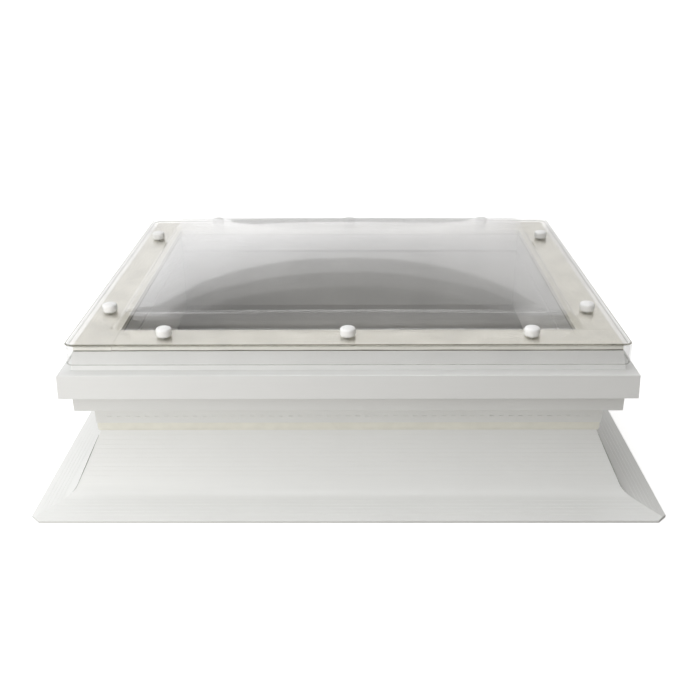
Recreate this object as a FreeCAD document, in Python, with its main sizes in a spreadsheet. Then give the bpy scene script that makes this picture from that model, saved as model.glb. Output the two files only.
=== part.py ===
import FreeCAD, Part
import math
import os
import re
import Sketcher

# A ventilating dome rooflight: an insulated, flared plastic kerb, a fixed frame on its neck, a hinged
# sash that carries a triple-skin clear dome, two rear hinges and a crank-driven spindle opener.
#
# Axes: +X to the right, +Y to the hinge side, +Z up. The origin is the centre of the kerb's base.
# A mitred section is drawn once, in the XZ plane, with x = 0 on the edge of the clear opening and x
# growing outwards. The same section serves all four sides, turned about Z.

DIMENSIONS = [
    # the clear opening, and the lengths of a hole through one wall and right through a piece
    ("open_x", 800), ("open_y", 600), ("wall_drill", 10), ("through", 200),
    # kerb: an insulated hollow section
    ("kerb_top", 200), ("kerb_wall", 3), ("neck_out", 44.5), ("neck_foot", 122.7),
    ("flare_out", 92.2), ("flare_level", 21.1), ("flare_radius", 32),
    ("flange_out", 155.7), ("flange_tip", 4.5), ("splay_level", 110), ("splay_out", 51.8),
    ("corner_cut", 17), ("chamber_neck_foot", 121), ("chamber_out", 86), ("chamber_level", 24.6),
    ("chamber_splay_out", 53.7), ("chamber_splay_level", 110.7),
    ("toe_chamber_out", 135), ("toe_chamber_top", 18), ("toe_chamber_end", 6.9),
    ("rib_pitch", 8), ("rib_width", 1.2), ("rib_depth", 0.3), ("slope_rib_start", 9),
    ("flange_rib_start", 20),
    # membrane clip on the kerb's neck
    ("clip_out", 49.5), ("clip_foot", 140), ("clip_head", 177), ("clip_round", 1), ("lip_out", 48),
    ("lip_toe_out", 46.6), ("lip_toe", 129), ("lip_foot", 124), ("slot_level", 154),
    ("slot_length", 8), ("slot_height", 1.6), ("slot_depth", 1.2), ("slot_pitch", 17),
    # fixed frame and its weather seal
    ("frame_foot", 178), ("frame_top", 244), ("frame_out", 76.5), ("frame_step_out", 60),
    ("frame_step", 232), ("frame_leg", 51), ("frame_wall", 3), ("section_round", 1.5),
    ("seal_in", 18), ("seal_out", 32), ("seal_top", 249.7), ("seal_corner", 12), ("seal_round", 2.5),
    # screws that hold the fixed frame down to the kerb
    ("anchor_out", 25), ("anchor_x", 250), ("anchor_y", 150), ("anchor_length", 38),
    ("anchor_shank", 2.5), ("anchor_head", 4.75), ("anchor_head_height", 3.5), ("anchor_access", 6),
    # sash
    ("sash_foot", 250), ("sash_top", 288), ("sash_shoulder", 67.5), ("sash_waist", 73.3),
    ("shelf_in", 255.7), ("shelf_out", 254.7), ("skirt_out", 92.8), ("skirt_foot_out", 94.6),
    ("skirt_foot", 211.3), ("skirt_wall", 3), ("shelf_under", 251.7), ("rebate_out", 64),
    ("web_in", 31), ("web_out", 34), ("sash_wall", 3),
    # spacer strips under the dome
    ("strip_in", 0), ("strip_out", 66.5), ("strip_top", 299),
    # dome skins: each has a flange, a sloping step and a crown
    ("dome_out", 80), ("lip_level", 268), ("flange_level", 305), ("plan_corner", 14),
    ("bend_radius", 3), ("outer_skin", 3), ("inner_skin", 1.5), ("skin_gap", 3),
    ("outer_joint", 12), ("outer_step", -8), ("outer_rise", 332), ("outer_crown", 46),
    ("middle_joint", 5), ("middle_step", -12), ("middle_rise", 321), ("middle_crown", 36),
    ("inner_joint", -1), ("inner_step", -16), ("inner_rise", 311), ("inner_crown", 27.5),
    # dome fixings
    ("fixing_out", 37), ("fixing_x", 316), ("fixing_y", 223), ("shank", 2.75), ("hole", 3.25),
    ("screw_length", 42), ("screw_head", 4.75), ("screw_head_height", 4),
    ("washer", 12.6), ("washer_height", 2.2), ("cap", 13.5), ("cap_height", 13.2),
    ("cap_side", 9.2), ("cap_wall", 1.6), ("cap_shoulder", 10.4),
    # hinges
    ("hinge_x", 250), ("pivot_out", 102), ("pivot_level", 204), ("hinge_width", 80),
    ("knuckle", 6.5), ("knuckle_middle", 20), ("knuckle_gap", 0.3), ("arm", 3.5), ("bend_out", 8),
    ("pin", 3),
    ("pin_play", 0.05), ("leaf", 2.5), ("leaf_top", 250), ("leaf_foot", 214), ("leg_foot", 180),
    ("rivet_x", 28), ("sash_rivet_level", 236), ("frame_rivet_level", 187), ("rivet", 2),
    ("rivet_head", 4), ("rivet_head_height", 1.4), ("rivet_hole", 2.4), ("rivet_tail", 3.2),
    # spindle opener, on the front side
    ("opener_in", 28), ("trunnion_level", 150), ("eye_level", 262),
    ("tube", 14), ("tube_bore", 11.5), ("tube_foot", 44), ("tube_top", 240), ("tube_end", 3),
    ("guide_height", 8), ("guide_bore", 6.3), ("screw_bore", 4.3),
    ("collar", 17), ("collar_height", 22), ("trunnion", 4), ("trunnion_bore", 4.05),
    ("rod", 6), ("rod_foot", 48), ("nut", 11.2), ("nut_height", 8), ("rod_bore_top", 236),
    ("rod_eye", 9), ("rod_eye_width", 14), ("eye_bore", 4.6), ("eye_pin", 4),
    ("screw_top", 226), ("screw", 4), ("head", 15), ("head_foot", 28), ("head_play", 0.3),
    ("ring", 9), ("ring_wire", 3), ("ring_level", 17.5),
    ("ear", 4), ("trunnion_ear_in", 18), ("eye_ear_in", 7.5), ("ear_round", 9),
    ("plate", 3), ("wall_plate_foot", 116), ("wall_plate_top", 184), ("wall_plate_width", 70),
    ("sash_plate_foot", 252), ("sash_plate_top", 284), ("sash_plate_width", 56),
    ("wall_screw_x", 28), ("wall_screw_rise", 22), ("sash_screw_x", 21), ("sash_screw_low", 262),
    ("sash_screw_high", 278), ("plate_screw", 2), ("plate_screw_head", 4),
    ("plate_screw_head_height", 2.4), ("plate_screw_length", 16),
]

SIDES = {"front": -90, "back": 90, "left": 180, "right": 0}
END_MARGIN = 220  # how far a section runs past the opening before its ends are mitred
MITRE_RUN_OUT = 20  # how far the mitre's cut runs past the section on every side
TOLERANCE = 0.01

doc = FreeCAD.newDocument("ventilating_rooflight")
sheet = doc.addObject("Spreadsheet::Sheet", "dims")
for row, (alias, value) in enumerate(DIMENSIONS, start=1):
    sheet.set(f"A{row}", alias)
    sheet.set(f"B{row}", str(value))
    sheet.setAlias(f"B{row}", alias)
doc.recompute()

parts = []  # the sub-parts, in the order in which they are made


def bound(text):
    """The expression text, whose words are aliases, as FreeCAD reads it from another object."""
    return re.sub(r"[a-z][a-z_]*", r"dims.\g<0>", str(text))


def size(text):
    """The value of an expression in the sheet's aliases, in millimetres."""
    return float(sheet.evalExpression(str(text)))


def origin_plane(body, role):
    return next(f for f in body.Origin.OriginFeatures if f.Role == role)


def new_sketch(body, name, plane, offset=None):
    """A sketch of body, attached to one of its origin planes."""
    sketch = body.newObject("Sketcher::SketchObject", name)
    sketch.AttachmentSupport = [(origin_plane(body, plane), "")]
    sketch.MapMode = "FlatFace"
    if offset is not None:
        sketch.AttachmentOffset = offset
    return sketch


def flat_vector(x, y):
    return FreeCAD.Vector(size(x), size(y), 0)


def add_outline(sketch, points):
    """A closed outline whose corners are bound to the sheet. points: (x, y) expressions."""
    first = sketch.GeometryCount
    count = len(points)
    corners = [flat_vector(x, y) for x, y in points]
    for k in range(count):
        sketch.addGeometry(Part.LineSegment(corners[k], corners[(k + 1) % count]), False)
    for k in range(count):
        joined = first + (k + 1) % count
        sketch.addConstraint(Sketcher.Constraint("Coincident", first + k, 2, joined, 1))
    for k, (x, y) in enumerate(points):
        bind_point(sketch, first + k, 1, x, y)


def bind_point(sketch, geometry, end, x, y):
    """Binds one end (or centre, 3) of a sketch's geometry to the expressions x and y."""
    for kind, text in (("DistanceX", x), ("DistanceY", y)):
        constraint = Sketcher.Constraint(kind, -1, 1, geometry, end, size(text))
        index = sketch.addConstraint(constraint)
        sketch.setExpression(f"Constraints[{index}]", bound(text))


def add_circle(sketch, x, y, radius):
    """A circle whose centre and radius are bound to the sheet."""
    circle = Part.Circle(flat_vector(x, y), FreeCAD.Vector(0, 0, 1), size(radius))
    index = sketch.addGeometry(circle, False)
    bind_point(sketch, index, 3, x, y)
    constraint = sketch.addConstraint(Sketcher.Constraint("Radius", index, size(radius)))
    sketch.setExpression(f"Constraints[{constraint}]", bound(radius))


def new_body(name):
    body = doc.addObject("PartDesign::Body", name)
    body.Label = name
    body.AllowCompound = True
    parts.append(body)
    return body


def pad(body, sketch, length, midplane=False):
    feature = body.newObject("PartDesign::Pad", sketch.Name + "_pad")
    feature.Profile = sketch
    feature.Midplane = midplane
    feature.setExpression("Length", bound(length))
    sketch.Visibility = False
    doc.recompute()
    return feature


def pocket(body, sketch, length=None, both=True):
    """Cuts sketch out of body: right through, or to a length, both ways or against its normal."""
    before = body.Shape.Volume
    feature = body.newObject("PartDesign::Pocket", sketch.Name + "_cut")
    feature.Profile = sketch
    feature.Midplane = both
    if length is None:
        feature.Type = 1
    else:
        feature.setExpression("Length", bound(length))
    doc.recompute()
    if body.Shape.Volume >= before - TOLERANCE:
        raise RuntimeError(f"{feature.Name} cuts nothing from {body.Label}")
    return feature


def long_edges(shape, spots):
    """Names of the edges that run along Y through the (x, z) spots of a section."""
    found = []
    for x, z in spots:
        for index, edge in enumerate(shape.Edges, start=1):
            centre = edge.CenterOfMass
            if math.hypot(centre.x - size(x), centre.z - size(z)) < TOLERANCE:
                if edge.BoundBox.YLength > edge.BoundBox.XLength + edge.BoundBox.ZLength:
                    found.append(f"Edge{index}")
    if len(found) != len(spots):
        raise RuntimeError(f"found {len(found)} edges of {len(spots)}")
    return found


def fillet(body, radius, spots):
    base = body.Tip
    edges = long_edges(base.Shape, spots)
    feature = body.newObject("PartDesign::Fillet", "round")
    feature.Base = (base, edges)
    feature.setExpression("Radius", bound(radius))
    doc.recompute()
    return feature


def drill(body, name, spots, radius, level, depth="wall_drill"):
    """Round holes at the (x, y) spots of a section, from half of depth above level to half below."""
    sketch = new_sketch(body, name, "XY_Plane")
    sketch.setExpression("AttachmentOffset.Base.z", bound(level))
    for x, y in spots:
        add_circle(sketch, x, y, radius)
    return pocket(body, sketch, depth)


def drill_across(body, name, spots, radius, out, depth="wall_drill"):
    """Round holes along the section's x at the (y, z) spots, centred on x = out."""
    sketch = new_sketch(body, name, "YZ_Plane")
    sketch.setExpression("AttachmentOffset.Base.z", bound(out))
    for y, z in spots:
        add_circle(sketch, y, z, radius)
    return pocket(body, sketch, depth)


def place_side(body, side, level="0"):
    """Turns a section drawn for the right side to its own side and puts it on the opening's edge."""
    turn = FreeCAD.Rotation(FreeCAD.Vector(0, 0, 1), SIDES[side])
    body.Placement = FreeCAD.Placement(FreeCAD.Vector(0, 0, 0), turn)
    along_x = {"left": "-open_x / 2", "right": "open_x / 2"}.get(side, "0")
    along_y = {"front": "-open_y / 2", "back": "open_y / 2"}.get(side, "0")
    body.setExpression("Placement.Base.x", bound(along_x))
    body.setExpression("Placement.Base.y", bound(along_y))
    body.setExpression("Placement.Base.z", bound(level))


def half_length(side):
    """Half of the opening along a side."""
    return "open_x / 2" if side in ("front", "back") else "open_y / 2"


def cut_ends(body, name, outline):
    """Cuts an outline, given for a section's +Y end, right through both of its ends."""
    sketch = new_sketch(body, name, "XY_Plane")
    add_outline(sketch, outline)
    add_outline(sketch, [(x, f"-({y})") for x, y in outline])
    pocket(body, sketch)


def mitre(body, side):
    """Cuts both ends of a section at 45 degrees."""
    half = half_length(side)
    cut_ends(body, "mitre", [
        (f"-{MITRE_RUN_OUT}", f"{half} - {MITRE_RUN_OUT}"),
        (END_MARGIN + MITRE_RUN_OUT, f"{half} + {END_MARGIN + MITRE_RUN_OUT}"),
        (f"-{MITRE_RUN_OUT}", f"{half} + {END_MARGIN + MITRE_RUN_OUT}"),
    ])


def extrude_section(name, side, outlines):
    """A body with outlines padded along a side, past both of its ends."""
    body = new_body(name)
    section = new_sketch(body, "section", "XZ_Plane")
    for outline in outlines:
        add_outline(section, outline)
    pad(body, section, f"2 * ({half_length(side)} + {END_MARGIN})", midplane=True)
    return body


def group(name, shapes):
    """One node of separate solids, as copies of shapes that are already in place."""
    feature = doc.addObject("Part::Feature", name)
    feature.Label = name
    feature.Shape = Part.makeCompound(list(shapes))
    parts.append(feature)
    return feature


# ---- kerb ----------------------------------------------------------------------------------------

NECK_FOOT = ("neck_out", "neck_foot")
FLARE = ("flare_out", "flare_level")
FLANGE_TIP = ("flange_out", "flange_tip")
KERB_OUTLINE = [
    ("0", "kerb_top"), ("neck_out", "kerb_top"), NECK_FOOT, FLARE, FLANGE_TIP,
    ("flange_out", "0"), ("splay_out", "0"), ("0", "splay_level"),
]
SLOPE_RIBS = 10
FLANGE_RIBS = 5
KERB_CHAMBER = [
    ("kerb_wall", "kerb_top - kerb_wall"), ("neck_out - kerb_wall", "kerb_top - kerb_wall"),
    ("neck_out - kerb_wall", "chamber_neck_foot"), ("chamber_out", "chamber_level"),
    ("chamber_out", "kerb_wall"), ("chamber_splay_out", "kerb_wall"),
    ("kerb_wall", "chamber_splay_level"),
]
KERB_TOE_CHAMBER = [
    ("chamber_out + kerb_wall", "kerb_wall"), ("chamber_out + kerb_wall", "toe_chamber_top"),
    ("toe_chamber_out", "toe_chamber_end"), ("toe_chamber_out", "kerb_wall"),
]
WALL_PLATE_SCREWS = [(x, z) for x in ("-wall_screw_x", "wall_screw_x")
                     for z in ("trunnion_level - wall_screw_rise", "trunnion_level + wall_screw_rise")]
SASH_PLATE_SCREWS = [(x, z) for x in ("-sash_screw_x", "sash_screw_x")
                     for z in ("sash_screw_low", "sash_screw_high")]
ANCHORS = {"front": "anchor_x", "back": "anchor_x", "left": "anchor_y", "right": "anchor_y"}


def anchor_spots(side):
    """Where the fixed frame's screws stand on one side's section."""
    return [("anchor_out", f"-{ANCHORS[side]}"), ("anchor_out", ANCHORS[side])]


def rib_cuts(body, name, start, end, margin, count):
    """Fine grooves in a straight face of the section, from margin past start towards end."""
    (x0, z0), (x1, z1) = [(size(x), size(z)) for x, z in (start, end)]
    lean = math.degrees(math.atan2(z1 - z0, x1 - x0))
    along = FreeCAD.Vector(x1 - x0, z1 - z0, 0).normalize() * size(margin)
    turn = FreeCAD.Rotation(FreeCAD.Vector(0, 0, 1), lean)
    offset = FreeCAD.Placement(FreeCAD.Vector(x0, z0, 0) + along, turn)
    sketch = new_sketch(body, name, "XZ_Plane", offset)
    add_outline(sketch, [("-rib_width / 2", "0.2"), ("rib_width / 2", "0.2"), ("0", "-rib_depth")])
    notch = pocket(body, sketch)
    pattern = body.newObject("PartDesign::LinearPattern", name + "_row")
    pattern.Originals = [notch]
    pattern.Direction = (sketch, ["H_Axis"])
    pattern.setExpression("Length", bound(f"{count - 1} * rib_pitch"))
    pattern.Occurrences = count
    body.Tip = pattern
    doc.recompute()


def make_kerb(side):
    body = extrude_section(f"kerb_{side}", side, [KERB_OUTLINE, KERB_CHAMBER, KERB_TOE_CHAMBER])
    fillet(body, "flare_radius", [FLARE])
    rib_cuts(body, "slope_rib", NECK_FOOT, FLARE, "slope_rib_start", SLOPE_RIBS)
    rib_cuts(body, "flange_rib", FLARE, FLANGE_TIP, "flange_rib_start", FLANGE_RIBS)
    drill(body, "anchor", anchor_spots(side), "anchor_shank", "kerb_top")
    if side == "front":
        drill_across(body, "opener", WALL_PLATE_SCREWS, "plate_screw", "0")
    mitre(body, side)
    cut_flange_tips(body, side)
    place_side(body, side)


def cut_flange_tips(body, side):
    """Takes the sharp tips off the base flange, at 45 degrees across the assembled corner."""
    half = half_length(side)
    cut_ends(body, "flange_tip", [
        ("flange_out - corner_cut / 2", f"{half} + flange_out - corner_cut / 2"),
        ("flange_out + corner_cut", f"{half} + flange_out - 2 * corner_cut"),
        ("flange_out + corner_cut", f"{half} + flange_out + corner_cut"),
    ])


for side in SIDES:
    make_kerb(side)


def filled_section(name, outline, drilled=False):
    """Four mitred solids of one outline, one along each side, as a single node."""
    shapes = []
    for side in SIDES:
        body = extrude_section(f"{name}_{side}_blank", side, [outline])
        if drilled:
            drill(body, "anchor", anchor_spots(side), "anchor_shank", "kerb_top", "2 * anchor_length")
        if drilled and side == "front":
            drill_across(body, "opener", WALL_PLATE_SCREWS, "plate_screw", "0", "2 * plate_screw_length")
        mitre(body, side)
        place_side(body, side)
        doc.recompute()
        shapes.append(body.Shape.copy())
        parts.remove(body)
    group(name, shapes)


filled_section("kerb_insulation", KERB_CHAMBER, drilled=True)


# ---- membrane clip -------------------------------------------------------------------------------

CLIP_OUTLINE = [
    ("neck_out", "clip_head"), ("clip_out", "clip_head"), ("clip_out", "clip_foot"),
    ("neck_out", "clip_foot"),
]
LIP_OUTLINE = [
    ("neck_out", "clip_foot"), ("lip_out", "clip_foot"), ("lip_out", "lip_toe"),
    ("lip_toe_out", "lip_foot"), ("neck_out", "lip_foot"),
]


def make_clip(side):
    """A strip on the kerb's neck that holds the roofing membrane, with a row of punched slots."""
    body = extrude_section(f"membrane_clip_{side}", side, [CLIP_OUTLINE])
    fillet(body, "clip_round", [("clip_out", "clip_head"), ("clip_out", "clip_foot")])
    count = int(2 * size(f"{half_length(side)} + neck_out") // size("slot_pitch")) - 1
    sketch = new_sketch(body, "slot", "YZ_Plane")
    sketch.setExpression("AttachmentOffset.Base.z", bound("clip_out"))
    start = f"-{(count - 1) / 2} * slot_pitch - slot_length / 2"
    foot = "slot_level - slot_height / 2"
    head = "slot_level + slot_height / 2"
    add_outline(sketch, [
        (start, foot), (f"{start} + slot_length", foot), (f"{start} + slot_length", head), (start, head),
    ])
    slot = pocket(body, sketch, "slot_depth", both=False)
    pattern = body.newObject("PartDesign::LinearPattern", "slot_row")
    pattern.Originals = [slot]
    pattern.Direction = (sketch, ["H_Axis"])
    pattern.setExpression("Length", bound(f"{count - 1} * slot_pitch"))
    pattern.Occurrences = count
    body.Tip = pattern
    doc.recompute()
    mitre(body, side)
    place_side(body, side)


for side in SIDES:
    make_clip(side)
filled_section("membrane_clip_lips", LIP_OUTLINE)


# ---- fixed frame ---------------------------------------------------------------------------------

FRAME_OUTLINE = [
    ("0", "kerb_top"), ("0", "frame_top"), ("frame_step_out", "frame_top"),
    ("frame_step_out", "frame_step"), ("frame_out", "frame_step"), ("frame_out", "frame_foot"),
    ("frame_leg", "frame_foot"), ("frame_leg", "kerb_top"),
]
FRAME_CHAMBERS = [
    [
        ("frame_wall", "kerb_top + frame_wall"), ("frame_leg", "kerb_top + frame_wall"),
        ("frame_leg", "frame_top - frame_wall"), ("frame_wall", "frame_top - frame_wall"),
    ],
    [
        ("frame_leg + frame_wall", "frame_foot + frame_wall"),
        ("frame_out - frame_wall", "frame_foot + frame_wall"),
        ("frame_out - frame_wall", "frame_step - frame_wall"),
        ("frame_leg + frame_wall", "frame_step - frame_wall"),
    ],
]


def make_frame(side):
    body = extrude_section(f"fixed_frame_{side}", side, [FRAME_OUTLINE, *FRAME_CHAMBERS])
    fillet(body, "section_round", [("frame_out", "frame_step"), ("frame_out", "frame_foot")])
    drill(body, "anchor", anchor_spots(side), "anchor_shank", "kerb_top")
    drill(body, "access", anchor_spots(side), "anchor_access", "frame_top")
    if side == "back":
        drill_across(body, "rivet", frame_rivets(), "rivet_hole", "frame_out")
    mitre(body, side)
    place_side(body, side)


def frame_rivets():
    """(y, z) of the rivets through the hinges' lower leaves, on the back section."""
    return [(f"{turn} * hinge_x + {end} * rivet_x", "frame_rivet_level")
            for turn in (-1, 1) for end in (-1, 1)]


def sash_rivets():
    """(y, z) of the rivets through the hinges' upper leaves, on the back section."""
    return [(f"{turn} * hinge_x + {end} * rivet_x", "sash_rivet_level")
            for turn in (-1, 1) for end in (-1, 0, 1)]


def seal_ring():
    """The weather seal: one continuous rubber ring with rounded corners and a rounded top."""
    body = new_body("weather_seal")
    sketch = new_sketch(body, "ring", "XY_Plane")
    sketch.setExpression("AttachmentOffset.Base.z", bound("frame_top"))
    for out in ("seal_in", "seal_out"):
        x = f"open_x / 2 + {out}"
        y = f"open_y / 2 + {out}"
        add_outline(sketch, [(f"-({x})", f"-({y})"), (x, f"-({y})"), (x, y), (f"-({x})", y)])
    pad(body, sketch, "seal_top - frame_top")
    base = body.Tip
    uprights = [f"Edge{k}" for k, edge in enumerate(base.Shape.Edges, start=1)
                if edge.BoundBox.ZLength > 1]
    corners = body.newObject("PartDesign::Fillet", "corners")
    corners.Base = (base, uprights)
    corners.setExpression("Radius", bound("seal_corner"))
    doc.recompute()
    top = [f"Edge{k}" for k, edge in enumerate(corners.Shape.Edges, start=1)
           if edge.BoundBox.ZMin > size("seal_top") - 1]
    rounding = body.newObject("PartDesign::Fillet", "rounding")
    rounding.Base = (corners, top)
    rounding.setExpression("Radius", bound("seal_round"))
    doc.recompute()


for side in SIDES:
    make_frame(side)
seal_ring()


# ---- sash ----------------------------------------------------------------------------------------

SKIRT_LEAN = "(skirt_foot_out - skirt_out) / (shelf_out - skirt_foot)"
SASH_OUTLINE = [
    ("0", "sash_foot"), ("0", "sash_top"), ("sash_shoulder", "sash_top"), ("sash_waist", "shelf_in"),
    ("skirt_out", "shelf_out"), ("skirt_foot_out", "skirt_foot"),
    ("skirt_foot_out - skirt_wall", "skirt_foot"), ("skirt_out - skirt_wall", "shelf_under"),
    ("rebate_out", "shelf_under"), ("rebate_out", "sash_foot"),
]
SASH_CHAMBERS = [
    [
        ("sash_wall", "sash_foot + sash_wall"), ("web_in", "sash_foot + sash_wall"),
        ("web_in", "sash_top - sash_wall"), ("sash_wall", "sash_top - sash_wall"),
    ],
    [
        ("web_out", "shelf_under + sash_wall"), ("sash_waist - sash_wall", "shelf_under + sash_wall"),
        ("sash_shoulder - sash_wall", "sash_top - sash_wall"), ("web_out", "sash_top - sash_wall"),
    ],
]
FIXINGS = {
    "front": ["-fixing_x", "0", "fixing_x"], "back": ["-fixing_x", "0", "fixing_x"],
    "left": ["-fixing_y", "fixing_y"], "right": ["-fixing_y", "fixing_y"],
}


def fixing_spots(side):
    return [("fixing_out", along) for along in FIXINGS[side]]


def make_sash(side):
    body = extrude_section(f"sash_frame_{side}", side, [SASH_OUTLINE, *SASH_CHAMBERS])
    fillet(body, "section_round", [("skirt_out", "shelf_out"), ("sash_shoulder", "sash_top")])
    drill(body, "fixing", fixing_spots(side), "shank", "sash_top")
    if side == "front":
        drill_across(body, "opener", SASH_PLATE_SCREWS, "plate_screw", "0")
    if side == "back":
        drill_across(body, "rivet", sash_rivets(), "rivet_hole", "skirt_out")
    mitre(body, side)
    place_side(body, side)


def make_strip(side):
    """A foam strip between sash and dome. Each one butts against the flank of the next."""
    body = new_body(f"dome_spacer_{side}")
    sketch = new_sketch(body, "plan", "XY_Plane")
    sketch.setExpression("AttachmentOffset.Base.z", bound("sash_top"))
    near = f"-({half_length(side)} + strip_in)"
    far = f"{half_length(side)} + strip_out"
    add_outline(sketch, [("strip_in", near), ("strip_out", near), ("strip_out", far), ("strip_in", far)])
    pad(body, sketch, "strip_top - sash_top")
    drill(body, "fixing", fixing_spots(side), "hole", "strip_top", "through")
    place_side(body, side)


for side in SIDES:
    make_sash(side)
for side in SIDES:
    make_strip(side)


# ---- dome ----------------------------------------------------------------------------------------

def rectangle(grow, level, corner=0.0):
    """A horizontal rectangle, grow larger than the opening on every side, with rounded corners."""
    x = size("open_x") / 2 + grow
    y = size("open_y") / 2 + grow
    plate = Part.makeBox(2 * x, 2 * y, 1, FreeCAD.Vector(-x, -y, level))
    if corner > 0:
        uprights = [edge for edge in plate.Edges if edge.BoundBox.ZLength > 0.5]
        plate = plate.makeFillet(corner, uprights)
    low = min(plate.Faces, key=lambda face: face.CenterOfMass.z)
    return low.OuterWire


def slab(grow, low, high, corner=0.0):
    face = Part.Face(rectangle(grow, low, corner))
    return face.extrude(FreeCAD.Vector(0, 0, high - low))


def bulge(joint, step, foot, rise, crown):
    """The solid under a dome: a sloping step from foot to rise, then a crown that curves both ways."""
    base = Part.makeLoft([rectangle(joint, foot), rectangle(step, rise)], True, True)
    x = size("open_x") / 2 + step
    y = size("open_y") / 2 + step
    surface = Part.BezierSurface()
    surface.increase(2, 2)
    for i in range(3):
        for j in range(3):
            lift = 4 * crown if i == j == 1 else 0
            surface.setPole(i + 1, j + 1, FreeCAD.Vector((i - 1) * x, (j - 1) * y, rise + lift))
    roof = surface.toShape()
    floor = Part.Face(roof.OuterWire)
    lens = Part.Solid(Part.Shell([roof, floor]))
    if lens.Volume < 0:
        lens.reverse()
    return base.fuse(lens)


def dome_skin(kind, thickness, top, slab_out):
    """One skin: a flat flange whose top is at level top, with the bulge pressed up out of it."""
    joint, step = size(f"{kind}_joint"), size(f"{kind}_step")
    rise, crown = size(f"{kind}_rise"), size(f"{kind}_crown")
    skin = slab(slab_out, top - thickness, top, size("plan_corner"))
    skin = skin.fuse(bulge(joint, step, top - thickness, rise, crown))
    hollow = bulge(joint - thickness, step - thickness, top - thickness, rise - thickness, crown)
    reach = slab(joint - thickness, top - 4 * thickness, top - thickness)
    return skin.cut(hollow.fuse(reach))


def drilled(skin):
    """A skin with a clearance hole for every dome screw."""
    for side in SIDES:
        for x, y in fixing_points(side):
            foot = FreeCAD.Vector(x, y, size("sash_top"))
            skin = skin.cut(Part.makeCylinder(size("hole"), 30, foot))
    return skin.removeSplitter()


def fixing_points(side):
    """(x, y) of one side's dome screws, in the part's own frame."""
    turn = FreeCAD.Rotation(FreeCAD.Vector(0, 0, 1), SIDES[side])
    half = size("open_x" if side in ("left", "right") else "open_y") / 2
    points = []
    for out, along in fixing_spots(side):
        spot = turn.multVec(FreeCAD.Vector(half + size(out), size(along), 0))
        points.append((spot.x, spot.y))
    return points


def rounded_shell():
    """The outer skin's rim: a flange whose edge is bent down into a lip."""
    thickness = size("outer_skin")
    rim = slab(size("dome_out"), size("lip_level"), size("flange_level"), size("plan_corner"))
    top = [edge for edge in rim.Edges if edge.BoundBox.ZMin > size("flange_level") - TOLERANCE]
    rim = rim.makeFillet(size("bend_radius"), top)
    core = slab(size("dome_out") - thickness, size("lip_level"), size("flange_level") - thickness,
                size("plan_corner") - thickness)
    middle = slab(size("outer_joint"), size("lip_level"), size("flange_level") + 1)
    return rim.cut(core.fuse(middle))


def add_skin(name, shape):
    feature = doc.addObject("Part::Feature", name)
    feature.Label = name
    feature.Shape = drilled(shape)
    parts.append(feature)


def make_domes():
    thick, thin = size("outer_skin"), size("inner_skin")
    top = size("flange_level")
    flat_out = size("dome_out") - thick - size("skin_gap")
    outer = dome_skin("outer", thick, top, size("dome_out") - thick)
    add_skin("dome_outer", outer.fuse(rounded_shell()))
    add_skin("dome_middle", dome_skin("middle", thin, top - thick, flat_out))
    add_skin("dome_inner", dome_skin("inner", thin, top - thick - thin, flat_out))


make_domes()


# ---- turned pieces and groups --------------------------------------------------------------------

def turned(name, outline):
    """A body turned about its own Z axis. outline: (radius, z) expressions with radius >= 0."""
    body = new_body(name)
    sketch = new_sketch(body, "profile", "XZ_Plane")
    add_outline(sketch, outline)
    revolution = body.newObject("PartDesign::Revolution", "turn")
    revolution.Profile = sketch
    revolution.ReferenceAxis = (sketch, ["V_Axis"])
    revolution.Angle = 360
    doc.recompute()
    return body


def repeat(name, blank, placements):
    """One node with a copy of a blank at each placement. The blank is no sub-part of its own."""
    parts.remove(blank)
    shapes = []
    for placement in placements:
        shape = blank.Shape.copy()
        shape.Placement = placement
        shapes.append(shape)
    group(name, shapes)


def screw_outline(shank, length, head, height):
    """A pan-head screw: the seat of its head is at z = 0 and its shank points down."""
    return [("0", f"-{length}"), (shank, f"2 * {shank} - {length}"), (shank, "0"), (head, "0"),
            (head, f"0.6 * {height}"), (f"0.7 * {head}", height), ("0", height)]


def at(x, y, z, turn=None):
    return FreeCAD.Placement(FreeCAD.Vector(x, y, z), turn or FreeCAD.Rotation())


fixings = [spot for side in SIDES for spot in fixing_points(side)]
seat = size("flange_level")
repeat("dome_washers", turned("washer_blank", [
    ("hole", "0"), ("washer", "0"), ("washer", "washer_height - 0.6"),
    ("washer - 1", "washer_height"), ("hole", "washer_height"),
]), [at(x, y, seat) for x, y in fixings])
repeat("dome_screws", turned("screw_blank", screw_outline(
    "shank", "screw_length", "screw_head", "screw_head_height",
)), [at(x, y, seat + size("washer_height")) for x, y in fixings])
repeat("screw_caps", turned("cap_blank", [
    ("cap - cap_wall", "0"), ("cap", "0"), ("cap", "cap_side"), ("cap - 1.2", "cap_side + 2.4"),
    ("cap - 5", "cap_height - 0.5"), ("0", "cap_height"), ("0", "cap_height - cap_wall"),
    ("cap_shoulder", "cap_side"), ("cap - cap_wall", "cap_side - 2"),
]), [at(x, y, seat + size("washer_height")) for x, y in fixings])


def anchor_points():
    points = []
    for side in SIDES:
        turn = FreeCAD.Rotation(FreeCAD.Vector(0, 0, 1), SIDES[side])
        half = size("open_x" if side in ("left", "right") else "open_y") / 2
        for out, along in anchor_spots(side):
            points.append(turn.multVec(FreeCAD.Vector(half + size(out), size(along), 0)))
    return points


repeat("frame_screws", turned("anchor_blank", screw_outline(
    "anchor_shank", "anchor_length", "anchor_head", "anchor_head_height",
)), [at(spot.x, spot.y, size("kerb_top + frame_wall")) for spot in anchor_points()])


# ---- hinges --------------------------------------------------------------------------------------

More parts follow.
